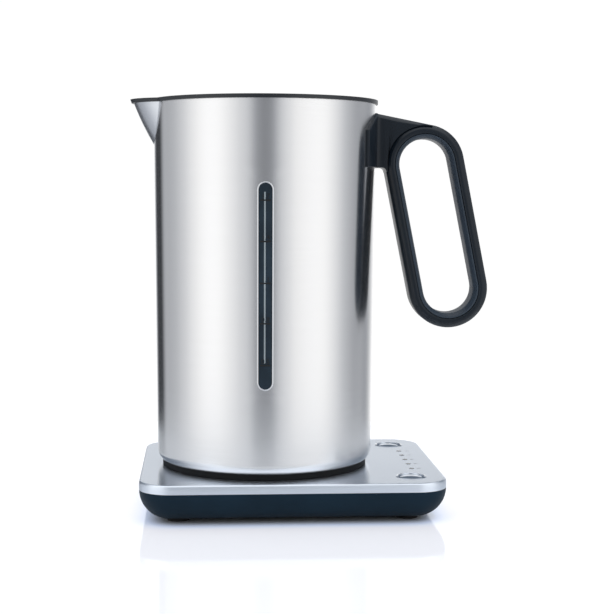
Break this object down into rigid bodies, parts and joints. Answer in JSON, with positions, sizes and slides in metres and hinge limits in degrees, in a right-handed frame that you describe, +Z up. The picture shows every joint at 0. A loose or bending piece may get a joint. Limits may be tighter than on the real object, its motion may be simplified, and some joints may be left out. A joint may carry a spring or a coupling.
{
  "type": "electric kettle",
  "caption": "Cordless electric kettle: tapered steel jug with beak spout, water gauge, loop handle and hinged lid, on a rectangular base with buttons and indicator lights.",
  "frame": {"origin": "middle of the kettle's outline in plan, on the surface that its feet stand on", "axes": "+Z up, +X from the spout towards the handle, -Y towards the viewer, who faces the long side with the water gauge"},
  "size_m": [0.2094, 0.144, 0.2363],
  "materials": {
    "body_steel": "brushed round the body",
    "plate_steel": "fine brushed front to back",
    "lid_steel": "fine brushed",
    "button_steel": "satin",
    "inner_steel": "plain rolled",
    "frame_chrome": "bright",
    "housing_black": "satin moulded",
    "handle_black": "satin moulded",
    "handle_liner": "soft-touch moulded",
    "rim_black": "satin moulded",
    "plug_plastic": "moulded",
    "deck_grey": "moulded",
    "block_plastic": "moulded",
    "relay_plastic": "moulded",
    "switch_plastic": "moulded",
    "lead_plastic": "insulation",
    "board_green": "solder resist",
    "transformer_core": "wound core with tape",
    "lamp_lens": "moulded",
    "light_guide": "clear moulded",
    "gauge_glass": "smoked clear plastic",
    "silicone": "translucent silicone",
    "foot_rubber": "matte",
    "brass": "turned",
    "aluminium": "rolled"
  },
  "bodies": {
    "base": {"base_housing": "housing_black", "base_deck": "deck_grey", "base_plate": "plate_steel", "feet": "foot_rubber", "base_screws": "inner_steel", "cord_gland": "foot_rubber", "terminal_block": "block_plastic", "base_leads": "lead_plastic", "circuit_board": "board_green", "relay": "relay_plastic", "transformer": "transformer_core", "tact_switches": "switch_plastic", "led_lamps": "lamp_lens", "light_guides": "light_guide", "button_bezels": "button_steel", "power_plug": "plug_plastic", "contact_pin": "brass", "contact_ring": "brass"},
    "button_back": {"button_back": "button_steel", "plunger_back": "switch_plastic"},
    "button_front": {"button_front": "button_steel", "plunger_front": "switch_plastic"},
    "socket": {"jug_socket": "plug_plastic", "socket_contact": "brass"},
    "jug": {"thermal_control": "block_plastic", "bottom_cover": "housing_black", "bottom_studs": "inner_steel", "bottom_screws": "inner_steel", "heater_plate": "inner_steel", "heat_spreader": "aluminium", "heating_element": "aluminium", "temperature_probe": "inner_steel", "jug_shell": "body_steel", "spout": "body_steel", "spout_filter": "rim_black", "filter_mesh": "inner_steel", "rim_collar": "rim_black", "gauge_frame": "frame_chrome", "gauge_window": "gauge_glass", "gauge_seal": "silicone", "gauge_back": "rim_black", "handle_bracket": "handle_black", "handle_shell": "handle_black", "handle_liner": "handle_liner", "handle_screws": "inner_steel", "hinge_pin": "inner_steel"},
    "lid": {"lid_base": "rim_black", "lid_cover": "lid_steel", "lid_grip": "rim_black", "lid_seal": "silicone", "lid_dish": "inner_steel"}
  },
  "joints": [
    {"name": "back_button_press", "type": "slide", "parent": "base", "child": "button_back", "axis": [0, 0, -1], "range_m": [0, 0.001], "stiffness_N_per_m": 500, "springref_m": -0.002},
    {"name": "front_button_press", "type": "slide", "parent": "base", "child": "button_front", "axis": [0, 0, -1], "range_m": [0, 0.001], "stiffness_N_per_m": 500, "springref_m": -0.002},
    {"name": "jug_lift", "type": "slide", "parent": "base", "child": "socket", "axis": [0, 0, 1], "range_m": [0, 0.12]},
    {"name": "jug_swivel", "type": "hinge", "parent": "socket", "child": "jug", "pos_m": [-0.02665, 0, 0.0233], "axis": [0, 0, 1], "continuous": true},
    {"name": "lid_hinge", "type": "hinge", "parent": "jug", "child": "lid", "pos_m": [0.03291, -0.00218, 0.2331], "axis": [0.0366, 0.9993, 0], "range_deg": [0, 85]}
  ]
}
